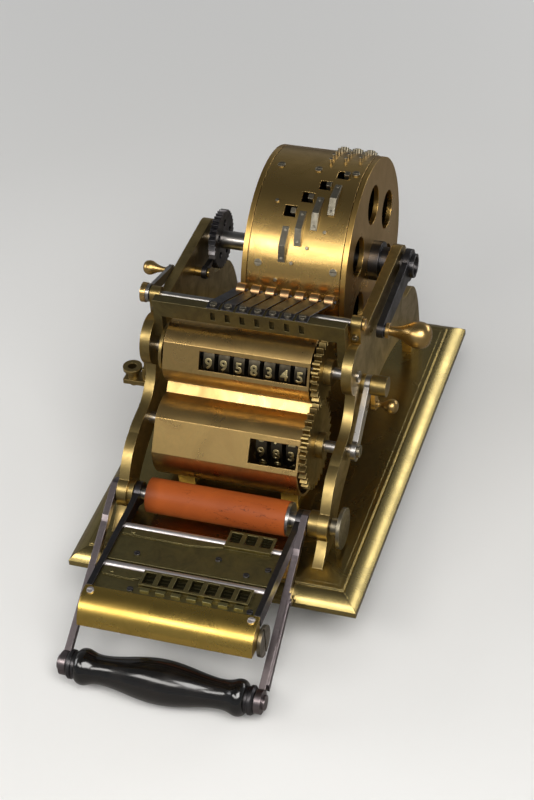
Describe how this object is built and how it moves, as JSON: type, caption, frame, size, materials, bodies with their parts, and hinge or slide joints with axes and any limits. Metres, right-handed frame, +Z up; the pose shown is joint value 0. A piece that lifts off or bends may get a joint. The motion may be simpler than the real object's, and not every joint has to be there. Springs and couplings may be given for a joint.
{
  "type": "printing pinwheel calculator",
  "caption": "Hand-cranked pinwheel calculator in brass: a large setting drum, two windowed registers, an impression roller and a hinged printing frame with a turned black handle.",
  "frame": {"origin": "middle of the underside of the rectangular base, between the feet", "axes": "+X towards the crank, +Y towards the number drum at the back, +Z up; the printing frame hangs in front at -Y"},
  "size_m": [0.2097, 0.3875, 0.2265],
  "materials": {
    "base_brass": "polished, tarnished",
    "aged_brass": "aged satin",
    "bright_brass": "lacquered, polished",
    "dull_brass": "dull, greenish",
    "bright_steel": "polished",
    "dark_steel": "dark, worn",
    "copper": "copper plated, satin",
    "red_rubber": "matte, cracked",
    "black_wood": "turned, black gloss",
    "wheel_metal": "satin, dark figures ground"
  },
  "bodies": {
    "stand": {"base_plate": "base_brass", "base_moulding": "base_brass", "base_feet": "aged_brass", "left_side_frame": "aged_brass", "right_side_frame": "aged_brass", "support_blocks": "aged_brass", "comb_bar": "dull_brass", "leaf_springs": "dark_steel", "frame_screws": "bright_steel", "register_housing": "bright_brass", "steel_link": "bright_steel", "oil_cup": "aged_brass"},
    "release": {"release_rod": "bright_steel", "release_knob": "bright_brass"},
    "drum": {"drum_shell": "bright_brass", "drum_ends": "bright_brass", "drum_shaft": "bright_steel", "drum_pins": "bright_steel", "ratchet_wheel": "dark_steel", "crank_arm": "dark_steel"},
    "crank_grip": {"crank_knob": "bright_brass"},
    "ratchet_pawl": {"pawl": "dark_steel"},
    "upper_arbor": {"upper_gear": "aged_brass", "upper_shaft": "bright_steel"},
    "lower_arbor": {"lower_gear": "aged_brass", "lower_shaft": "bright_steel"},
    "impression_roller": {"roller_rubber": "red_rubber", "roller_shaft": "bright_steel", "thumb_disc": "dark_steel"},
    "printing_frame": {"outer_arms": "dark_steel", "inner_bars": "dark_steel", "frame_rods": "bright_steel", "type_plates": "dull_brass", "type_blocks": "dull_brass", "front_cover": "bright_brass"},
    "frame_handle": {"handle_grip": "black_wood", "handle_ferrules": "dark_steel"},
    "key": {"key_disc": "dull_brass"},
    "trip": {"trip_lever": "bright_brass"},
    "lever_1": {"setting_lever_1": "bright_steel"},
    "lever_2": {"setting_lever_2": "bright_steel"},
    "lever_3": {"setting_lever_3": "bright_steel"},
    "lever_4": {"setting_lever_4": "bright_steel"},
    "contact_roller_1": {"copper_roller_1": "copper"},
    "contact_roller_2": {"copper_roller_2": "copper"},
    "contact_roller_3": {"copper_roller_3": "copper"},
    "contact_roller_4": {"copper_roller_4": "copper"},
    "contact_roller_5": {"copper_roller_5": "copper"},
    "contact_roller_6": {"copper_roller_6": "copper"},
    "contact_roller_7": {"copper_roller_7": "copper"},
    "upper_wheel_1": {"upper_digit_wheel_1": "wheel_metal"},
    "upper_wheel_2": {"upper_digit_wheel_2": "wheel_metal"},
    "upper_wheel_3": {"upper_digit_wheel_3": "wheel_metal"},
    "upper_wheel_4": {"upper_digit_wheel_4": "wheel_metal"},
    "upper_wheel_5": {"upper_digit_wheel_5": "wheel_metal"},
    "upper_wheel_6": {"upper_digit_wheel_6": "wheel_metal"},
    "upper_wheel_7": {"upper_digit_wheel_7": "wheel_metal"},
    "lower_wheel_1": {"lower_digit_wheel_1": "wheel_metal"},
    "lower_wheel_2": {"lower_digit_wheel_2": "wheel_metal"},
    "lower_wheel_3": {"lower_digit_wheel_3": "wheel_metal"}
  },
  "joints": [
    {"name": "drum_spin", "type": "hinge", "parent": "stand", "child": "drum", "pos_m": [0, 0.084, 0.1095], "axis": [1, 0, 0], "continuous": true},
    {"name": "crank_grip_spin", "type": "hinge", "parent": "drum", "child": "crank_grip", "pos_m": [0.09, 0.01204, 0.10699], "axis": [1, 0, 0], "continuous": true},
    {"name": "lever_1_set", "type": "hinge", "parent": "drum", "child": "lever_1", "pos_m": [0, 0.084, 0.1095], "axis": [1, 0, 0], "range_deg": [-5, 5]},
    {"name": "lever_2_set", "type": "hinge", "parent": "drum", "child": "lever_2", "pos_m": [0, 0.084, 0.1095], "axis": [1, 0, 0], "range_deg": [-5, 5]},
    {"name": "lever_3_set", "type": "hinge", "parent": "drum", "child": "lever_3", "pos_m": [0, 0.084, 0.1095], "axis": [1, 0, 0], "range_deg": [-5, 5]},
    {"name": "lever_4_set", "type": "hinge", "parent": "drum", "child": "lever_4", "pos_m": [0, 0.084, 0.1095], "axis": [1, 0, 0], "range_deg": [-5, 5]},
    {"name": "pawl_tilt", "type": "hinge", "parent": "stand", "child": "ratchet_pawl", "pos_m": [-0.064, 0.05, 0.104], "axis": [1, 0, 0], "range_deg": [0, 25]},
    {"name": "release_tilt", "type": "hinge", "parent": "stand", "child": "release", "pos_m": [0, -0.0155, 0.1315], "axis": [1, 0, 0], "range_deg": [0, 35]},
    {"name": "contact_roller_1_spin", "type": "hinge", "parent": "stand", "child": "contact_roller_1", "pos_m": [-0.0195, 0.0025, 0.1315], "axis": [1, 0, 0], "continuous": true},
    {"name": "contact_roller_2_spin", "type": "hinge", "parent": "stand", "child": "contact_roller_2", "pos_m": [-0.0092, 0.0025, 0.1315], "axis": [1, 0, 0], "continuous": true},
    {"name": "contact_roller_3_spin", "type": "hinge", "parent": "stand", "child": "contact_roller_3", "pos_m": [0.0011, 0.0025, 0.1315], "axis": [1, 0, 0], "continuous": true},
    {"name": "contact_roller_4_spin", "type": "hinge", "parent": "stand", "child": "contact_roller_4", "pos_m": [0.0114, 0.0025, 0.1315], "axis": [1, 0, 0], "continuous": true},
    {"name": "contact_roller_5_spin", "type": "hinge", "parent": "stand", "child": "contact_roller_5", "pos_m": [0.0217, 0.0025, 0.1315], "axis": [1, 0, 0], "continuous": true},
    {"name": "contact_roller_6_spin", "type": "hinge", "parent": "stand", "child": "contact_roller_6", "pos_m": [0.032, 0.0025, 0.1315], "axis": [1, 0, 0], "continuous": true},
    {"name": "contact_roller_7_spin", "type": "hinge", "parent": "stand", "child": "contact_roller_7", "pos_m": [0.0423, 0.0025, 0.1315], "axis": [1, 0, 0], "continuous": true},
    {"name": "lower_arbor_spin", "type": "hinge", "parent": "stand", "child": "lower_arbor", "pos_m": [0, -0.0565, 0.0565], "axis": [1, 0, 0], "continuous": true},
    {"name": "upper_arbor_spin", "type": "hinge", "parent": "stand", "child": "upper_arbor", "pos_m": [0, -0.031, 0.0995], "axis": [1, 0, 0], "continuous": true},
    {"name": "upper_wheel_1_spin", "type": "hinge", "parent": "stand", "child": "upper_wheel_1", "pos_m": [-0.0283, -0.031, 0.0995], "axis": [1, 0, 0], "continuous": true},
    {"name": "upper_wheel_2_spin", "type": "hinge", "parent": "stand", "child": "upper_wheel_2", "pos_m": [-0.0177, -0.031, 0.0995], "axis": [1, 0, 0], "continuous": true},
    {"name": "upper_wheel_3_spin", "type": "hinge", "parent": "stand", "child": "upper_wheel_3", "pos_m": [-0.0071, -0.031, 0.0995], "axis": [1, 0, 0], "continuous": true},
    {"name": "upper_wheel_4_spin", "type": "hinge", "parent": "stand", "child": "upper_wheel_4", "pos_m": [0.0035, -0.031, 0.0995], "axis": [1, 0, 0], "continuous": true},
    {"name": "upper_wheel_5_spin", "type": "hinge", "parent": "stand", "child": "upper_wheel_5", "pos_m": [0.0141, -0.031, 0.0995], "axis": [1, 0, 0], "continuous": true},
    {"name": "upper_wheel_6_spin", "type": "hinge", "parent": "stand", "child": "upper_wheel_6", "pos_m": [0.0247, -0.031, 0.0995], "axis": [1, 0, 0], "continuous": true},
    {"name": "upper_wheel_7_spin", "type": "hinge", "parent": "stand", "child": "upper_wheel_7", "pos_m": [0.0353, -0.031, 0.0995], "axis": [1, 0, 0], "continuous": true},
    {"name": "lower_wheel_1_spin", "type": "hinge", "parent": "stand", "child": "lower_wheel_1", "pos_m": [0.0141, -0.0565, 0.0565], "axis": [1, 0, 0], "continuous": true},
    {"name": "lower_wheel_2_spin", "type": "hinge", "parent": "stand", "child": "lower_wheel_2", "pos_m": [0.0247, -0.0565, 0.0565], "axis": [1, 0, 0], "continuous": true},
    {"name": "lower_wheel_3_spin", "type": "hinge", "parent": "stand", "child": "lower_wheel_3", "pos_m": [0.0353, -0.0565, 0.0565], "axis": [1, 0, 0], "continuous": true},
    {"name": "impression_roller_spin", "type": "hinge", "parent": "stand", "child": "impression_roller", "pos_m": [0, -0.103, 0.029], "axis": [1, 0, 0], "continuous": true},
    {"name": "printing_frame_lift", "type": "hinge", "parent": "stand", "child": "printing_frame", "pos_m": [0, -0.103, 0.029], "axis": [-1, 0, 0], "range_deg": [0, 75]},
    {"name": "frame_handle_spin", "type": "hinge", "parent": "printing_frame", "child": "frame_handle", "pos_m": [0, -0.216, -0.025], "axis": [1, 0, 0], "continuous": true},
    {"name": "key_turn", "type": "hinge", "parent": "printing_frame", "child": "key", "pos_m": [0, -0.199, 0.0135], "axis": [1, 0, 0], "continuous": true},
    {"name": "trip_swing", "type": "hinge", "parent": "stand", "child": "trip", "pos_m": [0.072, 0, 0.068], "axis": [1, 0, 0], "range_deg": [-20, 20]}
  ],
  "couplings": [
    {"joint": "upper_arbor_spin", "follows": "lower_arbor_spin", "ratio": -1.3913}
  ]
}
